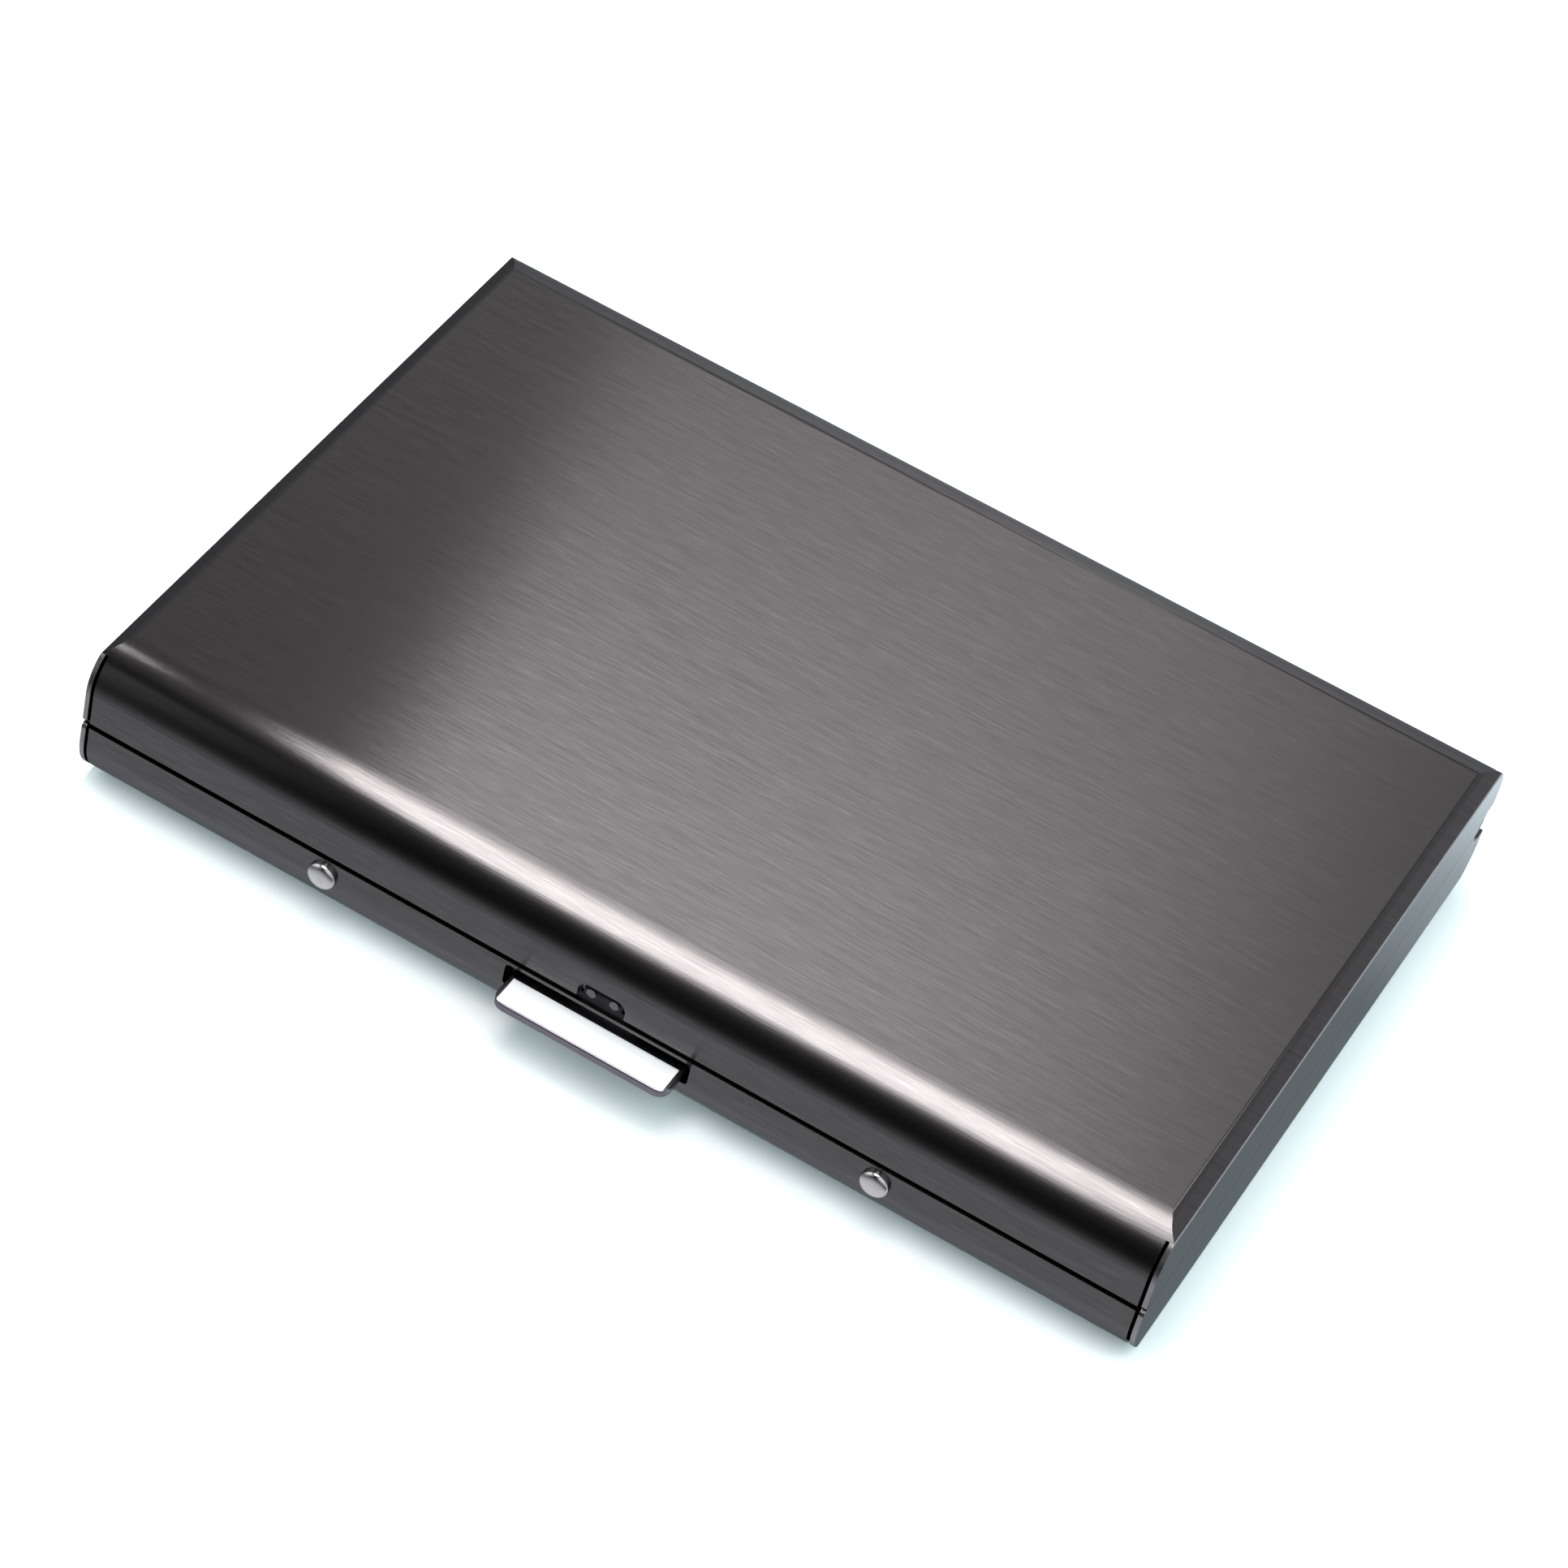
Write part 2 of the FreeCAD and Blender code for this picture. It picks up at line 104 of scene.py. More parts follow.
class Graph:
    """Short helper for building the nodes of one material or of the world."""

    def __init__(self, owner):
        owner.use_nodes = True
        self.owner = owner
        self.tree = owner.node_tree
        self.shader = self.tree.nodes.get("Principled BSDF")

    @classmethod
    def material(cls, name):
        return cls(bpy.data.materials.new(name))

    def add(self, kind, **settings):
        node = self.tree.nodes.new(kind)
        for key, value in settings.items():
            setattr(node, key, value)
        return node

    def link(self, source, target):
        self.tree.links.new(source, target)

    def set(self, **values):
        for key, value in values.items():
            self.shader.inputs[key.replace("_", " ")].default_value = value

    def position(self):
        return self.add("ShaderNodeTexCoord").outputs["Object"]

    def facing(self):
        """Surface direction in the piece's own rest frame, so it stays right when the piece moves."""
        return self.add("ShaderNodeTexCoord").outputs["Normal"]

    def noise(self, vector, scale, detail=2.0, roughness=0.5):
        node = self.add("ShaderNodeTexNoise")
        node.inputs["Scale"].default_value = scale
        node.inputs["Detail"].default_value = detail
        node.inputs["Roughness"].default_value = roughness
        self.link(vector, node.inputs["Vector"])
        return node.outputs["Fac"]

    def remap(self, value, low, high, out_low=0.0, out_high=1.0):
        node = self.add("ShaderNodeMapRange")
        node.inputs["From Min"].default_value = low
        node.inputs["From Max"].default_value = high
        node.inputs["To Min"].default_value = out_low
        node.inputs["To Max"].default_value = out_high
        self.link(value, node.inputs["Value"])
        return node.outputs["Result"]

    def ramp(self, value, stops):
        node = self.add("ShaderNodeValToRGB")
        elements = node.color_ramp.elements
        while len(elements) < len(stops):
            elements.new(0.5)
        for element, (place, colour) in zip(elements, stops):
            element.position = place
            element.color = (*colour, 1)
        self.link(value, node.inputs["Fac"])
        return node.outputs["Color"]

    def feed(self, target, value):
        """Links a socket, or sets a plain number."""
        if isinstance(value, (int, float)):
            target.default_value = value
        else:
            self.link(value, target)

    def math(self, operation, a, b=0.0):
        node = self.add("ShaderNodeMath", operation=operation)
        for socket, value in zip(node.inputs, (a, b)):
            self.feed(socket, value)
        return node.outputs["Value"]

    def split(self, vector):
        node = self.add("ShaderNodeSeparateXYZ")
        self.link(vector, node.inputs["Vector"])
        return [node.outputs[axis] for axis in "XYZ"]

    def join(self, x, y, z):
        node = self.add("ShaderNodeCombineXYZ")
        for axis, value in zip("XYZ", (x, y, z)):
            self.feed(node.inputs[axis], value)
        return node.outputs["Vector"]

    def curve(self, value, points):
        """Piecewise linear function of a value, through the given (value, result) points."""
        result = points[0][1]
        for (v0, r0), (v1, r1) in zip(points, points[1:]):
            result = self.math("ADD", self.remap(value, v0, v1, 0.0, r1 - r0), result)
        return result

    def blend(self, factor, a, b):
        """a where the factor is 0, b where it is 1."""
        return self.math("ADD", self.math("MULTIPLY", self.math("SUBTRACT", b, a), factor), a)

    def smooth_edge(self, value, centre, half_width):
        """0 below the edge, 1 above it."""
        offset = self.math("DIVIDE", self.math("SUBTRACT", value, centre), half_width)
        node = self.add("ShaderNodeMapRange", interpolation_type="SMOOTHSTEP")
        node.inputs["From Min"].default_value = -1.0
        node.inputs["From Max"].default_value = 1.0
        self.link(offset, node.inputs["Value"])
        return node.outputs["Result"]

    def bump(self, height, strength, distance):
        node = self.add("ShaderNodeBump")
        node.inputs["Strength"].default_value = strength
        node.inputs["Distance"].default_value = distance
        self.link(height, node.inputs["Height"])
        self.link(node.outputs["Normal"], self.shader.inputs["Normal"])


# ---- studio ----

# The softbox hangs over the case. Places on it are in metres, and it lies between these two (x, y) corners:
SOFTBOX_HEIGHT = 0.6
SOFTBOX_REACH = ((-0.5, -0.70), (0.15, 0.72))
SOFTBOX_COLOUR = (1.0, 0.955, 0.955, 1)
# Its brightness along Y, as (y, radiance):
SOFTBOX_FADE = [(-0.70, 0.0), (-0.54, 0.9), (-0.46, 5.4), (-0.35, 11.0), (-0.2, 12.0), (0.0, 11.6),
                (0.10, 9.0), (0.225, 4.6), (0.36, 3.9), (0.496, 3.4), (0.55, 2.0), (0.58, 1.35),
                (0.652, 0.5), (0.8, 0.1)]
# What the panel adds to that all over, left of its left edge too, as (y, radiance):
SOFTBOX_BASE = [(-0.6, 0.02), (-0.1, 0.4), (0.496, 0.51), (0.55, 0.66), (0.58, 0.74), (0.652, 0.91),
                (0.75, 1.4)]
# A narrow lamp beyond that edge, which lights the front roll's left end: centre and half size along X and Y.
SIDE_LAMP = ((-0.2615, 0.004), (-0.03, 0.09))
SIDE_LAMP_RADIANCE = 34.0
# The left edge's X and its half width, by Y:
SOFTBOX_LEFT_EDGE = [(-0.5, -0.210), (-0.2, -0.219), (0.0, -0.213), (0.11, -0.220), (0.225, -0.227),
                     (0.36, -0.239), (0.5, -0.261), (0.65, -0.282)]
SOFTBOX_EDGE_WIDTH = [(-0.1, 0.01), (0.5, 0.012), (0.58, 0.018), (0.65, 0.05)]
# How it fades to the right by X, over its front and middle, and over its rear part:
SOFTBOX_FRONT_RIGHT = [(0.03, 1.0), (0.12, 0.1)]
SOFTBOX_RIGHT_FADE = [(-0.165, 1.0), (-0.129, 0.88), (-0.11, 0.8), (-0.075, 0.53), (-0.057, 0.34),
                      (0.0, 0.15)]
# Its front right corner is cut off at a slant:
SOFTBOX_FRONT_TAPER = [(-0.07, 1.0), (-0.048, 0.66), (-0.033, 0.4), (-0.017, 0.24), (0.0, 0.12)]
# Where Y passes from the middle into the rear part, and out of the front part:
SOFTBOX_INTO_REAR = (0.15, 0.45)
SOFTBOX_OUT_OF_FRONT = (-0.3, -0.08)


def softbox_brightness(g, x, y):
    """Radiance of the softbox at a place on it."""
    level = g.math("MULTIPLY", g.curve(y, SOFTBOX_FADE),
                   g.smooth_edge(x, g.curve(y, SOFTBOX_LEFT_EDGE), g.curve(y, SOFTBOX_EDGE_WIDTH)))
    level = g.math("ADD", level, g.curve(y, SOFTBOX_BASE))
    rear_part = g.remap(y, *SOFTBOX_INTO_REAR)
    level = g.math("MULTIPLY", level, g.blend(rear_part, g.curve(x, SOFTBOX_FRONT_RIGHT),
                                              g.curve(x, SOFTBOX_RIGHT_FADE)))
    front_part = g.remap(y, *SOFTBOX_OUT_OF_FRONT, 1.0, 0.0)
    level = g.math("MULTIPLY", level, g.blend(front_part, 1.0, g.curve(x, SOFTBOX_FRONT_TAPER)))
    lamp = SIDE_LAMP_RADIANCE
    for place, (centre, half) in zip((x, y), SIDE_LAMP):
        offset = g.math("ABSOLUTE", g.math("SUBTRACT", place, centre))
        lamp = g.math("MULTIPLY", g.remap(offset, 0.0, half, 1.0, 0.0), lamp)
    return g.math("ADD", level, lamp)


# Radiance of the room by the height of the direction (-1 down, 0 horizon, 1 up):
ROOM_FRONT = [(-0.9, 1.2), (-0.7, 1.1), (-0.434, 0.36), (-0.277, 0.1), (0.0, 0.02), (1.0, 0.05)]
ROOM_REAR = [(-0.9, 0.35), (-0.5, 0.4), (-0.2, 0.8), (0.127, 1.1), (0.3, 1.45), (1.0, 1.45)]
ROOM_RIGHT = [(-0.9, 0.35), (-0.71, 0.42), (-0.69, 1.0), (-0.675, 2.2), (-0.3, 3.5), (0.1, 5.0),
              (0.22, 1.2), (0.4, 0.7), (0.7, 0.6)]
ROOM_FRONT_LEFT = [(-0.5, 0.0), (0.0, 0.2), (0.3, 0.5), (0.7, 0.55)]
ROOM_FRONT_SIDES = [(-0.3, 0.0), (0.1, 0.7), (0.5, 1.4)]
# How the rear wall's brightness changes with the direction's X, with its peak left of the middle:
ROOM_REAR_SPREAD = [(-0.7, 0.35), (-0.31, 0.65), (-0.24, 1.0), (-0.19, 1.0), (-0.117, 0.7)]
# Where one part of the room passes into the next, as two values of the direction's X or Y:
REAR_INTO_RIGHT = (-0.09, 0.09)
FRONT_INTO_REAR = (-0.3, 0.4)
OUT_OF_FRONT_LEFT = (-0.36, -0.29)
INTO_FRONT_RIGHT_SIDE = (-0.05, 0.2)
OUT_OF_FRONT_LEFT_SIDE = (-0.65, -0.42)
# The low part of the rear room is bluer, up to this height of the direction:
OUT_OF_LOW_ROOM = (-0.3, 0.15)
ROOM_COLOURS = [(0.0, (0.97, 0.955, 1.0)), (1.0, (0.80, 0.93, 1.0))]
FILL_COLOUR = (0.77, 0.97, 1.0, 1)
FILL_STRENGTH = 3.4


def make_world():
    """Dim room for the reflections, darkest in front, and a blue-green fill that only matt surfaces get."""
    world = bpy.data.worlds.new("studio")
    scene.world = world
    g = Graph(world)
    x, y, z = g.split(g.add("ShaderNodeTexCoord").outputs["Generated"])
    rear = g.math("MULTIPLY", g.curve(x, ROOM_REAR_SPREAD), g.curve(z, ROOM_REAR))
    rear = g.blend(g.remap(x, *REAR_INTO_RIGHT), rear, g.curve(z, ROOM_RIGHT))
    on_left = g.remap(x, *OUT_OF_FRONT_LEFT, 1.0, 0.0)
    front = g.math("ADD", g.curve(z, ROOM_FRONT), g.math("MULTIPLY", on_left, g.curve(z, ROOM_FRONT_LEFT)))
    sides = g.math("MAXIMUM", g.remap(x, *INTO_FRONT_RIGHT_SIDE),
                   g.remap(x, *OUT_OF_FRONT_LEFT_SIDE, 1.0, 0.0))
    front = g.math("ADD", front, g.math("MULTIPLY", sides, g.curve(z, ROOM_FRONT_SIDES)))
    at_rear = g.remap(y, *FRONT_INTO_REAR)
    tint = g.math("MULTIPLY", at_rear, g.remap(z, *OUT_OF_LOW_ROOM, 1.0, 0.0))
    room = g.tree.nodes["Background"]
    g.link(g.ramp(tint, ROOM_COLOURS), room.inputs["Color"])
    g.link(g.blend(at_rear, front, rear), room.inputs["Strength"])
    fill = g.add("ShaderNodeBackground")
    fill.inputs["Color"].default_value = FILL_COLOUR
    fill.inputs["Strength"].default_value = FILL_STRENGTH
    mix = g.add("ShaderNodeMixShader")
    g.link(g.add("ShaderNodeLightPath").outputs["Is Diffuse Ray"], mix.inputs["Fac"])
    g.link(room.outputs["Background"], mix.inputs[1])
    g.link(fill.outputs["Background"], mix.inputs[2])
    g.link(mix.outputs["Shader"], g.tree.nodes["World Output"].inputs["Surface"])


def flat_sheet(name, corners, height, material):
    """Horizontal rectangle that isn't part of the object."""
    (x0, y0), (x1, y1) = corners
    mesh = bpy.data.meshes.new(name)
    mesh.from_pydata([(x0, y0, 0), (x1, y0, 0), (x1, y1, 0), (x0, y1, 0)], [], [(0, 1, 2, 3)])
    mesh.materials.append(material)
    piece = bpy.data.objects.new(name, mesh)
    piece.location.z = height
    scene.collection.objects.link(piece)
    return piece


FLOOR_HALF_SIZE = 4.0
FLOOR_DROP = 0.00002      # below the case, so that the two faces don't coincide
FLOOR_COLOUR = (0.56, 0.56, 0.56, 1)


def make_studio():
    """Room, softbox and floor."""
    scene.view_settings.view_transform = "Standard"
    make_world()
    g = Graph.material("softbox")
    emission = g.add("ShaderNodeEmission")
    emission.inputs["Color"].default_value = SOFTBOX_COLOUR
    x, y, _ = g.split(g.position())
    g.link(softbox_brightness(g, x, y), emission.inputs["Strength"])
    g.link(emission.outputs["Emission"], g.tree.nodes["Material Output"].inputs["Surface"])
    flat_sheet("softbox", SOFTBOX_REACH, SOFTBOX_HEIGHT, g.owner)

    g = Graph.material("floor_paper")
    g.set(Base_Color=FLOOR_COLOUR, Roughness=1.0, Specular_IOR_Level=0.0)
    corners = ((-FLOOR_HALF_SIZE, -FLOOR_HALF_SIZE), (FLOOR_HALF_SIZE, FLOOR_HALF_SIZE))
    floor = flat_sheet("floor", corners, -FLOOR_DROP, g.owner)
    floor.visible_glossy = False      # the walls' reflections show the room in its place


# ---- materials ----

# The noise values that a material's colours and roughness run between:
NOISE_RANGE = (0.3, 0.7)
# Marks left by brushing, as (marks per metre along the grain, per metre across it, detail):
FINE_BRUSH = (260, 4200, 3.0)
BROAD_BRUSH = (90, 1500, 2.0)
SCRATCHES = (330, 2600, 1.0)


def brush_marks(g, along, across, marks, roughness=0.6):
    """Noise drawn out along the grain."""
    per_along, per_across, detail = marks
    place = g.join(g.math("MULTIPLY", along, per_along), g.math("MULTIPLY", across, per_across), 0.0)
    return g.noise(place, 1.0, detail, roughness)


def shades(colour, low, high):
    """Two shades of a colour, low and high times as bright, as the stops of a ramp."""
    return [(place, tuple(c * k for c in colour)) for place, k in zip(NOISE_RANGE, (low, high))]


def brushed_case_steel():
    """Dark brushed steel: fine brush marks along X on the faces, along Z on the folded ends."""
    g = Graph.material("case_steel")
    x, y, z = g.split(g.position())
    nx, ny, nz = g.split(g.facing())
    on_end = g.math("GREATER_THAN", g.math("ABSOLUTE", nx), 0.8)
    along = g.blend(on_end, x, z)
    girth = g.math("ADD", y, g.math("MULTIPLY", z, g.math("SUBTRACT", 1.0, on_end)))
    fine = brush_marks(g, along, girth, FINE_BRUSH)
    marks = g.blend(0.3, fine, brush_marks(g, along, girth, BROAD_BRUSH))
    scratches = brush_marks(g, along, girth, SCRATCHES, 0.5)
    marks = g.math("ADD", marks, g.remap(scratches, 0.64, 0.76, 0.0, 0.16))
    dark, light = (0.063, 0.062, 0.063), (0.094, 0.092, 0.093)
    g.link(g.ramp(marks, list(zip(NOISE_RANGE, (dark, light)))), g.shader.inputs["Base Color"])
    g.link(g.remap(marks, *NOISE_RANGE, 0.145, 0.125), g.shader.inputs["Roughness"])
    g.set(Metallic=1.0, Anisotropic=1.0, Anisotropic_Rotation=0.25, Specular_Tint=(0.7, 0.7, 0.7, 1))
    # The grain's own direction: X on the walls, turning upright as the surface turns to face sideways.
    upright = g.math("MULTIPLY", nx, g.remap(g.math("GREATER_THAN", nz, -0.001), 0.0, 1.0, 1.0, -1.0))
    level = g.math("ADD", g.math("ABSOLUTE", nz), g.math("ABSOLUTE", ny))
    to_world = g.add("ShaderNodeVectorTransform", vector_type="VECTOR", convert_from="OBJECT",
                     convert_to="WORLD")
    g.link(g.join(level, 0.0, upright), to_world.inputs["Vector"])
    g.link(to_world.outputs["Vector"], g.shader.inputs["Tangent"])
    g.bump(fine, 0.6, 0.00001)
    return g.owner


def plain_metal(name, colour, roughness):
    """Bare metal with a faint fine grain."""
    g = Graph.material(name)
    noise = g.noise(g.position(), 1500.0, 3.0)
    g.set(Metallic=1.0, Anisotropic=0.3)
    g.link(g.ramp(noise, shades(colour, 0.93, 1.07)), g.shader.inputs["Base Color"])
    g.link(g.remap(noise, *NOISE_RANGE, roughness * 0.9, roughness * 1.1), g.shader.inputs["Roughness"])
    g.bump(noise, 0.1, 0.000002)
    return g.owner


# The thumb tab's painted highlight, pale on its top and ending before the slot, where the top is left dark
# as
# painted shade: its front and rear, counted from the tab's front edge, half its width, and how far its
# border
# fades to either side:
HIGHLIGHT_FRONT = 0.17 * MM
HIGHLIGHT_REAR = 2.87 * MM
HIGHLIGHT_HALF_WIDTH = 7.42 * MM
HIGHLIGHT_BORDER = 0.04 * MM
# The colour sockets of a Mix node have no names of their own:
MIX_A, MIX_B, MIX_RESULT = 6, 7, 2


def latch_painted_highlight():
    """Thumb latch with a painted highlight: pale satin on its top, left dark as painted shade inside the
    slot; darker polished rim.
    """
    g = Graph.material("latch_chrome")
    x, y, _ = g.split(g.position())
    _, _, nz = g.split(g.facing())
    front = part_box("latch_lever")[0].y
    brush = brush_marks(g, x, y, FINE_BRUSH)
    # Mask of the painted highlight: faces that look up, within the tab's front, rear and sides; inside the
    # slot the top stays dark as painted shade.
    top = g.math("GREATER_THAN", nz, 0.7)
    for place, border, before, after in ((y, front + HIGHLIGHT_FRONT, 0.0, 1.0),
                                         (y, front + HIGHLIGHT_REAR, 1.0, 0.0),
                                         (g.math("ABSOLUTE", x), HIGHLIGHT_HALF_WIDTH, 1.0, 0.0)):
        within = g.remap(place, border - HIGHLIGHT_BORDER, border + HIGHLIGHT_BORDER, before, after)
        top = g.math("MULTIPLY", top, within)
    mix = g.add("ShaderNodeMix", data_type="RGBA")
    g.link(top, mix.inputs["Factor"])
    rim = ((0.13, 0.125, 0.145), (0.17, 0.165, 0.185))
    # Pale shades of the painted highlight on the top.
    highlight_shades = ((0.62, 0.62, 0.625), (0.69, 0.69, 0.69))
    g.link(g.ramp(brush, list(zip(NOISE_RANGE, rim))), mix.inputs[MIX_A])
    g.link(g.ramp(brush, list(zip(NOISE_RANGE, highlight_shades))), mix.inputs[MIX_B])
    g.link(mix.outputs[MIX_RESULT], g.shader.inputs["Base Color"])
    g.link(g.blend(top, 0.3, g.remap(brush, *NOISE_RANGE, 0.52, 0.6)), g.shader.inputs["Roughness"])
    g.link(g.blend(top, 1.0, 0.35), g.shader.inputs["Metallic"])
    g.bump(brush, 0.15, 0.000004)
    return g.owner


# The weld round the pocket films, in metres in from their edges: where it begins and where it ends.
WELD_BEGINS = (0.0007, 0.0009)
WELD_ENDS = (0.0026, 0.0028)
HATCH_PITCH = 0.0009
FILM_PEBBLES = 1500.0      # per metre
FILM_WAVES = 45.0          # per metre


def black_film(name, shade, gloss):
    """Black plastic film: pebbled grain, a smoother cross-hatched weld along the three closed edges."""
    g = Graph.material(name)
    position = g.position()
    x, y, _ = g.split(position)
    cells = g.add("ShaderNodeTexVoronoi", feature="DISTANCE_TO_EDGE")
    cells.inputs["Scale"].default_value = FILM_PEBBLES
    g.link(position, cells.inputs["Vector"])
    pebbles = g.remap(cells.outputs["Distance"], 0.0, 0.18)
    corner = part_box("lid_liner")[1]
    from_side = g.math("SUBTRACT", corner.x, g.math("ABSOLUTE", x))
    from_edge = g.math("MINIMUM", from_side, g.math("SUBTRACT", corner.y, y))
    weld = g.math("MULTIPLY", g.remap(from_edge, *WELD_BEGINS), g.remap(from_edge, *WELD_ENDS, 1.0, 0.0))
    hatch = 1.0
    for direction in (1.0, -1.0):
        across = g.math("ADD", x, g.math("MULTIPLY", y, direction))
        wave = g.math("SINE", g.math("MULTIPLY", across, 2 * math.pi / HATCH_PITCH))
        hatch = g.math("MULTIPLY", g.remap(wave, -1.0, 1.0), hatch)
    relief = g.blend(weld, g.math("MULTIPLY", pebbles, 0.45), hatch)
    cloud = g.noise(position, 60.0, 4.0, 0.6)
    warm_black = (shade * 1.14, shade, shade * 0.97)
    g.link(g.ramp(cloud, shades(warm_black, 0.8, 1.25)), g.shader.inputs["Base Color"])
    dull = g.remap(cloud, *NOISE_RANGE, gloss - 0.05, gloss + 0.07)
    g.link(g.math("SUBTRACT", dull, g.math("MULTIPLY", weld, 0.12)), g.shader.inputs["Roughness"])
    g.set(Metallic=0.0, Coat_Weight=0.12, Coat_Roughness=0.3)
    waves = g.noise(position, FILM_WAVES, 1.0)
    g.bump(g.math("ADD", relief, g.math("MULTIPLY", waves, 9.0)), 1.0, 0.00003)
    return g.owner


MATERIALS = {
    "case_steel": brushed_case_steel(),
    "latch_chrome": latch_painted_highlight(),
    "rivet_steel": plain_metal("rivet_steel", (0.44, 0.45, 0.45), 0.2),
    "inner_steel": plain_metal("inner_steel", (0.22, 0.22, 0.23), 0.32),
    "liner_film": black_film("liner_film", 0.026, 0.5),
    "pocket_film": black_film("pocket_film", 0.038, 0.36),
}
# Lighter steel on the end flaps' cut edges: a painted highlight along them.
EDGE_HIGHLIGHT_STEEL = plain_metal("cut_edge_steel", (0.19, 0.195, 0.2), 0.28)
# Near-black steel on the latch hook and the lid catch: painted shade, so that they read as dark as the
# shadowed latch window.
PAINTED_SHADE_STEEL = plain_metal("hook_steel", (0.012, 0.012, 0.013), 0.35)
HOOK_RIVET = plain_metal("hook_rivet_steel", (0.09, 0.09, 0.09), 0.3)


# ---- meshes ----

SMOOTH_BELOW = 40.0       # degrees; a sharper edge stays sharp in the shading
NORMAL_REACH = 0.25       # mm; how far a CAD corner may be from the visual corner that copies its direction
NORMAL_BEND = 16.0        # degrees; how far that direction may be off the visual face's own
NORMAL_CANDIDATES = 16    # how many of the nearest CAD corners are looked at


def cad_copy(name):
    """The CAD node's solid as an editable mesh, with its triangles joined into whole faces."""
    bm = bmesh.new()
    bm.from_mesh(nodes[name].data)
    bmesh.ops.remove_doubles(bm, verts=bm.verts, dist=1e-6)
    bmesh.ops.dissolve_limit(bm, angle_limit=math.radians(1.0), verts=bm.verts, edges=bm.edges)
    return bm


def sharp_edges(bm, angle=35.0):
    limit = math.radians(angle)
    return [e for e in bm.edges if e.is_manifold and e.calc_face_angle() > limit]


def round_edges(bm, edges, width, segments=2):
    made = bmesh.ops.bevel(bm, geom=edges, offset=width * MM, offset_type="OFFSET", segments=segments,
                           profile=0.5, affect="EDGES", clamp_overlap=True, material=-1)
    return made["faces"]


def add_piece(name, bm, materials):
    """Makes an object of a finished mesh, with smooth rounded edges and flat faces."""
    mesh = bpy.data.meshes.new(name)
    bm.to_mesh(mesh)
    bm.free()
    for material in materials:
        mesh.materials.append(material)
    mesh.shade_smooth()
    mesh.set_sharp_from_angle(angle=math.radians(SMOOTH_BELOW))
    piece = bpy.data.objects.new(name, mesh)
    scene.collection.objects.link(piece)
    normals = piece.modifiers.new("flat_faces", "WEIGHTED_NORMAL")
    normals.keep_sharp = True
    return piece


def body_of(name):
    return nodes[name].parent.name.removeprefix("body:")


def cad_directions(source):
    """A search tree of the CAD mesh's corner places, and the surface direction at each."""
    corners = {}
    for loop, normal in zip(source.loops, source.corner_normals):
        corners[(loop.vertex_index, tuple(round(v, 3) for v in normal.vector))] = normal.vector.copy()
    tree = KDTree(len(corners))
    for index, (vertex, _) in enumerate(corners):
        tree.insert(source.vertices[vertex].co, index)
    tree.balance()
    return tree, list(corners.values())


def exact_normals(piece, name):
    """Shades the piece with the CAD solid's own surface directions, except on its rounded edges."""
    tree, directions = cad_directions(nodes[name].data)
    evaluated = piece.evaluated_get(bpy.context.evaluated_depsgraph_get())
    mesh = bpy.data.meshes.new_from_object(evaluated)
    normals = [n.vector.copy() for n in mesh.corner_normals]
    limit = math.cos(math.radians(NORMAL_BEND))
    flat = math.cos(math.radians(1.0))
    fold = mesh.attributes.get("fold")
    for face in mesh.polygons:
        if fold and fold.data[face.index].value:
            continue
        for corner in face.loop_indices:
            place = mesh.vertices[mesh.loops[corner].vertex_index].co
            near = [directions[index] for _, index, distance in tree.find_n(place, NORMAL_CANDIDATES)
                    if distance < NORMAL_REACH * MM]
            if any(direction.dot(face.normal) > flat for direction in near):
                normals[corner] = face.normal.copy()
                continue
            along = [direction for direction in near if direction.dot(face.normal) > limit]
            if along:
                normals[corner] = along[0]
    mesh.normals_split_custom_set(normals)
    piece.modifiers.clear()
    piece.data = mesh


def finished(name, width, material=None, segments=2, extra=(), mark=None):
    """Replaces a CAD node by the same solid with rounded edges, after mark(bm) has touched it up."""
    bm = cad_copy(name)
    if mark:
        mark(bm)
    round_edges(bm, sharp_edges(bm), width, segments)
    materials = [material or MATERIALS[SLOTS[name]], *extra]
    piece = add_piece(name + "_finished", bm, materials)
    exact_normals(piece, name)
    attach(piece, body_of(name))
    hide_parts(name)


# The two shells, in millimetres:
HALF_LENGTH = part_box("lid_shell")[1].x / MM
HALF_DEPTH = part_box("lid_shell")[1].y / MM
PARTING = (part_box("base_shell")[1].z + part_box("lid_shell")[0].z) / 2 / MM
SHEET = 0.4                   # steel thickness
FOLD_WIDTH = 1.25             # of the slanted fold between the top or bottom and an end
FOLD_ROUNDING = 0.3
NEAR_PARTING = 0.2            # the two shells' facing edges lie within this of the parting height
PARTING_DRESS = 0.09          # how far those edges are dressed back at the front
SLOT_HALF_LENGTH = 8.3        # of the thumb tab's slot
SLOT_TOP = (0.6, 1.0)         # its top edge lies between these depths below the parting height
SLOT_DRESS = 0.12             # how far that edge is raised
FLAP_EDGE = 4.3               # the end flaps' cut edges lie within this of the front or the rear


def paint_edge_highlight(bm):
    """The end flaps' cut edges beside the seams get a lighter steel, a painted highlight."""
    for face in bm.faces:
        centre = face.calc_center_median() / MM
        on_flap = abs(centre.x) > HALF_LENGTH - SHEET + 0.05 and abs(centre.y) > HALF_DEPTH - FLAP_EDGE
        outward = abs(face.normal.x) < 0.3 and face.normal.y * centre.y > 0
        if on_flap and outward and abs(centre.z - PARTING) > NEAR_PARTING:
            face.material_index = 1


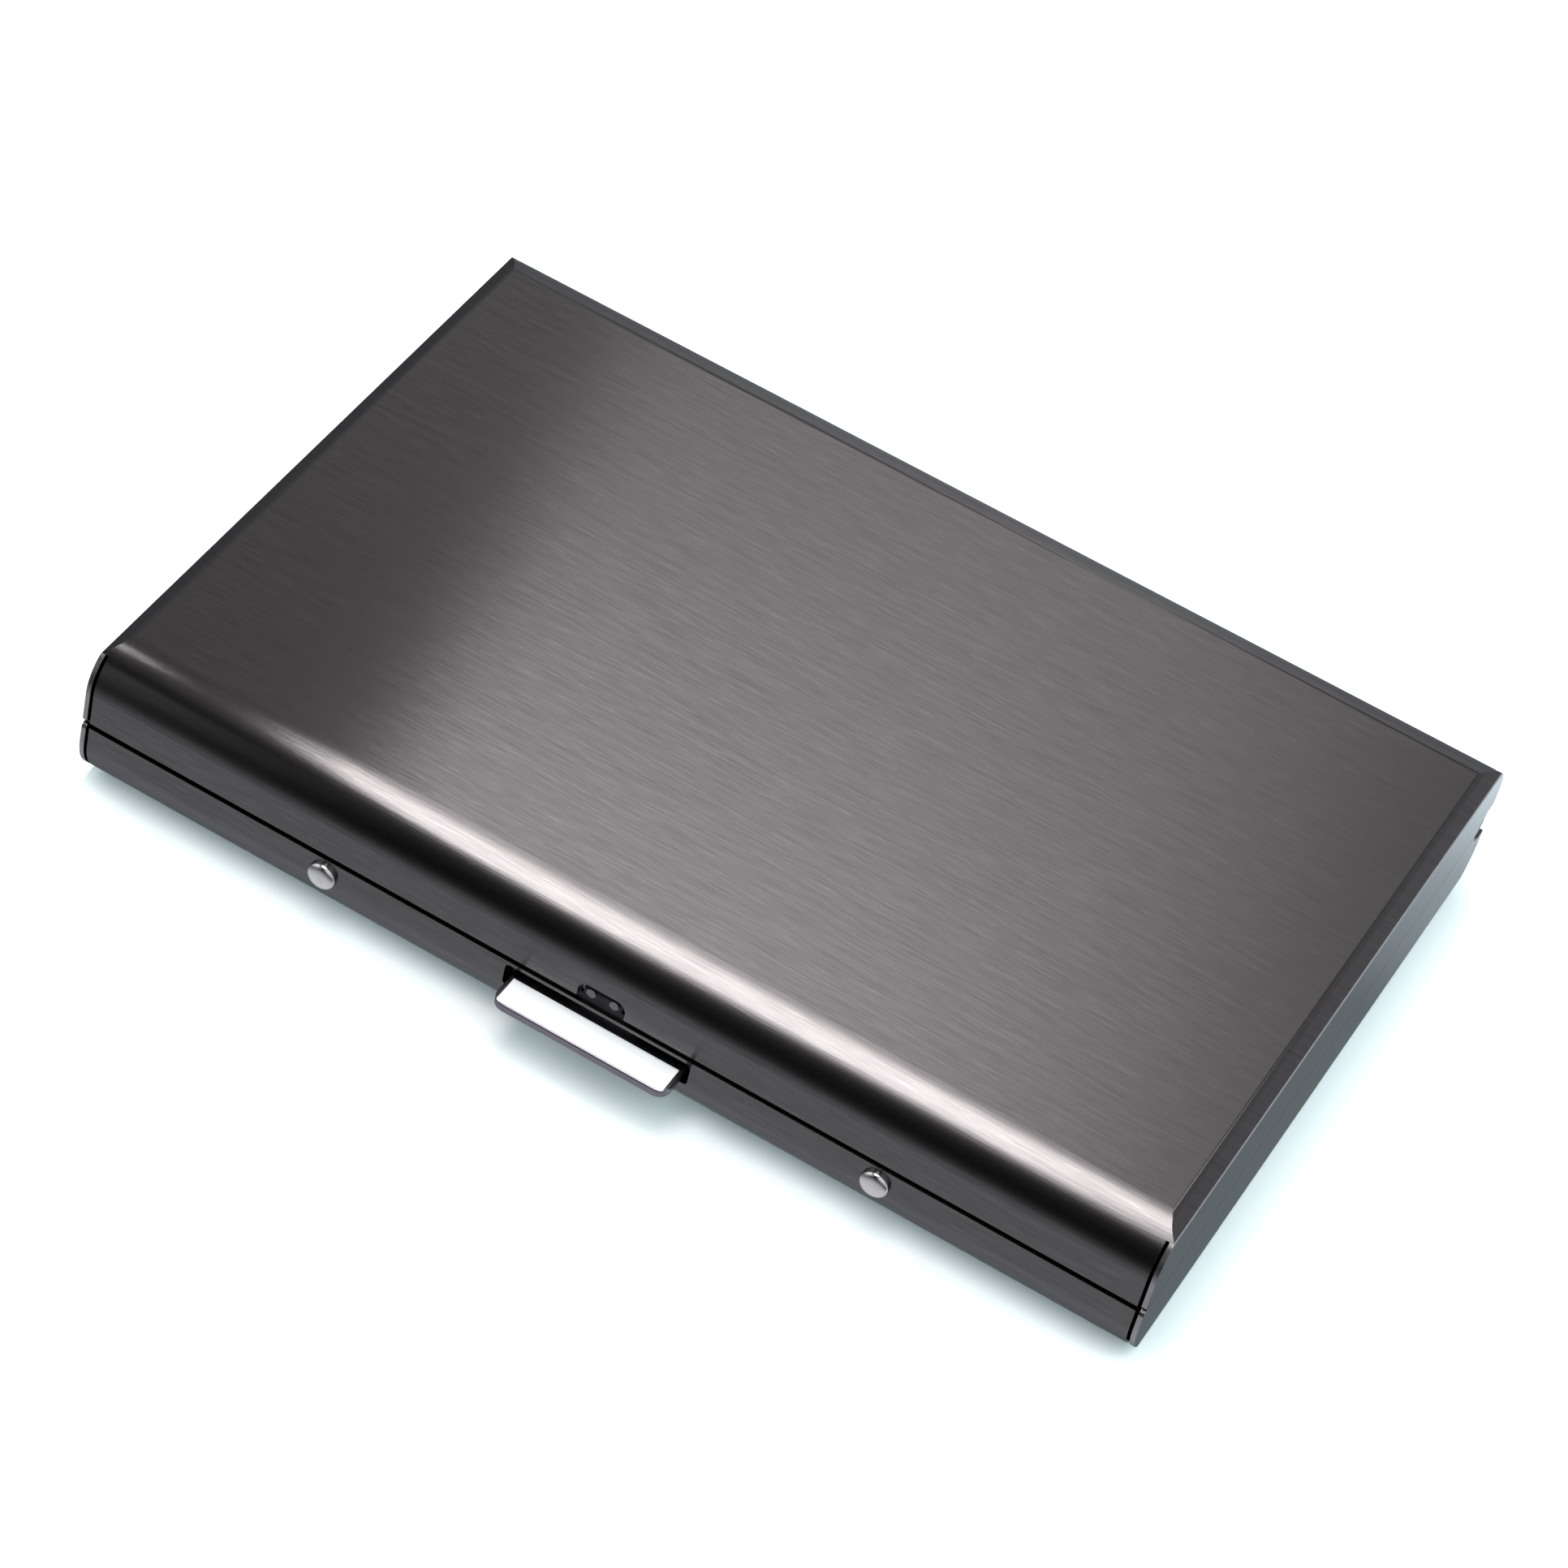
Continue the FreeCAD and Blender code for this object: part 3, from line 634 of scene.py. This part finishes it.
def open_front_gaps(bm):
    """Opens the parting line at the front, and the slot below it, a little."""
    for vert in bm.verts:
        if vert.co.y / MM > 0.5 - HALF_DEPTH or abs(vert.co.x) / MM > HALF_LENGTH - 0.2:
            continue
        above = vert.co.z / MM - PARTING
        if abs(above) < NEAR_PARTING:
            vert.co.z += math.copysign(PARTING_DRESS, above) * MM
        elif SLOT_TOP[0] < -above < SLOT_TOP[1] and abs(vert.co.x) / MM < SLOT_HALF_LENGTH + 0.2:
            vert.co.z += SLOT_DRESS * MM


def is_fold(edge):
    """Whether an edge is one of the long bends along the outside of a shell's ends."""
    if len(edge.link_faces) != 2:
        return False
    start, end = (vert.co / MM for vert in edge.verts)
    lengthwise = abs((start - end).normalized().y) >= 0.99 and (start - end).length > 20.0
    at_end = min(abs(start.x), abs(end.x)) > HALF_LENGTH - FOLD_WIDTH - 0.06
    return lengthwise and at_end and 20.0 < math.degrees(edge.calc_face_angle()) < 70.0


def dress_shell(bm):
    """Opens the shell's gaps and rounds its folds, as on bent and dressed sheet, and gives its cut edges a
    painted highlight.
    """
    open_front_gaps(bm)
    fold_layer = bm.faces.layers.int.new("fold")
    for face in round_edges(bm, [edge for edge in bm.edges if is_fold(edge)], FOLD_ROUNDING, 5):
        face[fold_layer] = 1
    paint_edge_highlight(bm)


# The border pressed into a pocket panel, as rings inwards from its edge: each ring's width and depth.
PRESSED_RINGS = ((1.0, 0.0), (0.12, -0.06), (0.8, 0.0), (0.12, 0.06))


def press_border(bm, side):
    """A shallow line pressed round a pocket panel's outer face, where the two films are welded."""
    outer = [max((f for f in bm.faces if f.normal.z * side > 0.9), key=lambda f: f.calc_area())]
    for width, depth in PRESSED_RINGS:
        bmesh.ops.inset_region(bm, faces=outer, thickness=width * MM, depth=depth * MM,
                               use_even_offset=True)


LATHE_SEGMENTS = 56


def lathe(bm, profile, centre):
    """Turns a profile of (radius, y) in millimetres round an axis along Y through centre."""
    rings = []
    for radius, y in profile:
        count = LATHE_SEGMENTS if radius else 1
        ring = []
        for k in range(count):
            angle = 2 * math.pi * k / count
            ring.append(bm.verts.new((centre[0] + radius * MM * math.cos(angle), y * MM,
                                      centre[1] + radius * MM * math.sin(angle))))
        rings.append(ring)
    for near, far in zip(rings, rings[1:]):
        for k in range(LATHE_SEGMENTS):
            after = (k + 1) % LATHE_SEGMENTS
            quad = [near[k % len(near)], near[after % len(near)], far[after % len(far)], far[k % len(far)]]
            bm.faces.new(list(dict.fromkeys(quad)))


RIVET_RADIUS = 1.25
RIVET_HEIGHT = 0.6        # of the head above the wall
SHANK_RADIUS = 0.65
# The rolled shoulder, as (radius, distance behind the face), and the hollow tail's rolled rim, as (radius,
# distance before the end), both in millimetres from the inside outwards:
RIVET_SHOULDER = [(0, 0), (0.35, 0.008), (0.65, 0.03), (0.88, 0.07), (1.02, 0.115), (1.13, 0.18),
                  (1.205, 0.26), (1.24, 0.36), (RIVET_RADIUS, 0.46)]
RIVET_TAIL = [(0, 0.36), (0.34, 0.3), (0.4, 0.14), (0.52, 0.04), (0.7, 0), (0.86, 0.01), (0.97, 0.08),
              (1.0, 0.2), (0.98, 0.3), (0.9, 0.35), (SHANK_RADIUS, 0.35)]


def button_rivets():
    """Button-headed rivets: short upright side, rolled shoulder, slightly domed face, hollow tail."""
    low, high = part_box("latch_rivets")
    face, tail = low.y / MM, high.y / MM
    wall = face + RIVET_HEIGHT
    profile = [(radius, face + depth) for radius, depth in RIVET_SHOULDER]
    profile += [(RIVET_RADIUS, wall), (SHANK_RADIUS, wall)]
    profile += [(radius, tail - depth) for radius, depth in reversed(RIVET_TAIL)]
    height = (low.z + high.z) / 2
    reach = high.x - RIVET_RADIUS * MM
    bm = bmesh.new()
    for x in (-reach, reach):
        lathe(bm, profile, (x, height))
    bmesh.ops.recalc_face_normals(bm, faces=bm.faces)
    piece = add_piece("latch_rivets_finished", bm, [MATERIALS["rivet_steel"]])
    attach(piece, "base")
    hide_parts("latch_rivets")


def strip_mesh(centre_line, thickness, half_width, columns):
    """Thin strip: centre_line is (y, z) points in millimetres, width along X, rounded side edges."""
    bm = bmesh.new()
    count = len(centre_line)
    tangents = []
    for k in range(count):
        before, after = centre_line[max(k - 1, 0)], centre_line[min(k + 1, count - 1)]
        tangents.append(Vector((0, after[0] - before[0], after[1] - before[1])).normalized())
    widths = [(-1 + 2 * c / columns) * half_width for c in range(columns + 1)]
    grids = []
    for offset in (-0.5, 0.5):
        grid = []
        for (y, z), tangent in zip(centre_line, tangents):
            across = Vector((0, -tangent.z, tangent.y)) * offset * thickness
            grid.append([bm.verts.new(Vector((x, y + across.y, z + across.z)) * MM) for x in widths])
        grids.append(grid)
    front, back = grids
    for r in range(count - 1):
        for c in range(columns):
            bm.faces.new((front[r][c], front[r][c + 1], front[r + 1][c + 1], front[r + 1][c]))
            bm.faces.new((back[r][c], back[r + 1][c], back[r + 1][c + 1], back[r][c + 1]))
        for c in (0, columns):
            bm.faces.new((front[r][c], front[r + 1][c], back[r + 1][c], back[r][c]))
    for r in (0, count - 1):
        for c in range(columns):
            bm.faces.new((front[r][c], front[r][c + 1], back[r][c + 1], back[r][c]))
    bmesh.ops.recalc_face_normals(bm, faces=bm.faces)
    round_edges(bm, sharp_edges(bm, 60.0), thickness * 0.3)
    return bm


PLEATS = 6
PLEAT_DEPTH = 0.3
PLEAT_STEPS = 12            # points along one pleat
BINDING_THICKNESS = 0.26


def bellows_binding():
    """Film strip that joins the pockets' rear edges, with small outward pleats."""
    low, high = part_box("sleeve_binding")
    bottom, top = low.z / MM, high.z / MM
    middle = (low.y + high.y) / 2 / MM
    steps = PLEATS * PLEAT_STEPS
    line = []
    for k in range(steps + 1):
        part = k / steps
        pleat = abs(math.sin(math.pi * PLEATS * part)) ** 0.7
        line.append((middle + PLEAT_DEPTH * pleat, bottom + (top - bottom) * part))
    strip = strip_mesh(line, BINDING_THICKNESS, high.x / MM, columns=24)
    piece = add_piece("sleeve_binding_finished", strip, [MATERIALS["pocket_film"]])
    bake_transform(piece)
    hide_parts("sleeve_binding")


def rounded_path(corners, radius):
    """Points along straight runs whose corners are rounded by a quadratic curve, then at an even spacing."""
    steps = 6
    spacing = 0.25
    corners = [Vector(c) for c in corners]
    path = [corners[0]]
    for before, corner, after in zip(corners, corners[1:], corners[2:]):
        start = corner + (before - corner).normalized() * radius
        end = corner + (after - corner).normalized() * radius
        for k in range(steps + 1):
            t = k / steps
            path.append(start * (1 - t) ** 2 + corner * 2 * t * (1 - t) + end * t ** 2)
    path.append(corners[-1])
    dense = [path[0]]
    for a, b in zip(path, path[1:]):
        parts = max(1, round((b - a).length / spacing))
        dense.extend(a.lerp(b, (k + 1) / parts) for k in range(parts))
    return [tuple(p) for p in dense]


LEAF_HALF_THICKNESS = 0.1
LEAF_BEND_HEIGHT = 5.8
LEAF_BEND_RADIUS = 0.35
LEAF_TIP = 0.25               # the CAD leaf's points this near to its top give the tip's place


def leaf_spring():
    """Bent leaf with rounded bends, from its foot on the bracket up to its tip at the lever's tongue."""
    low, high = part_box("latch_spring")
    low, high = low / MM, high / MM
    points = [v.co / MM for v in nodes["latch_spring"].data.vertices]
    tip = [point for point in points if point.z > high.z - LEAF_TIP]
    tip_y = sum(v.y for v in tip) / len(tip)
    foot_z = low.z + LEAF_HALF_THICKNESS
    back_y = high.y - LEAF_HALF_THICKNESS
    corners = [(low.y, foot_z), (back_y, foot_z), (back_y, LEAF_BEND_HEIGHT),
               (tip_y, high.z - LEAF_HALF_THICKNESS)]
    path = rounded_path(corners, LEAF_BEND_RADIUS)
    strip = strip_mesh(path, 2 * LEAF_HALF_THICKNESS, high.x, columns=8)
    piece = add_piece("latch_spring_finished", strip, [MATERIALS["inner_steel"]])
    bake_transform(piece)
    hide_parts("latch_spring")


# ---- the pieces ----

# How far the edges are rounded, in millimetres:
METAL_EDGE = 0.05
CATCH_EDGE = 0.04
RIVET_EDGE = 0.03
FILM_EDGE = 0.08

for node_name, node in nodes.items():
    node.data.materials.clear()
    node.data.materials.append(MATERIALS[SLOTS[node_name]])
for shell in ("lid_shell", "base_shell"):
    finished(shell, METAL_EDGE, extra=[EDGE_HIGHLIGHT_STEEL], mark=dress_shell)
finished("latch_lever", METAL_EDGE)
finished("latch_hook", METAL_EDGE, PAINTED_SHADE_STEEL)
finished("hook_rivets", RIVET_EDGE, HOOK_RIVET)
finished("lid_catch", CATCH_EDGE, PAINTED_SHADE_STEEL)
for plain in ("latch_bracket", "lid_hinge_leaf", "base_hinge_leaf", "hinge_pin", "latch_pin",
              "lid_liner", "base_liner"):
    finished(plain, METAL_EDGE)
for number in range(1, 7):
    sleeve = f"card_sleeve_{number}_"
    finished(sleeve + "lower_panel", FILM_EDGE, segments=3, mark=lambda bm: press_border(bm, -1))
    finished(sleeve + "upper_panel", FILM_EDGE, segments=3, mark=lambda bm: press_border(bm, 1))
    finished(sleeve + "welded_edge", FILM_EDGE, segments=3)
button_rivets()
bellows_binding()
leaf_spring()

make_camera()
make_studio()
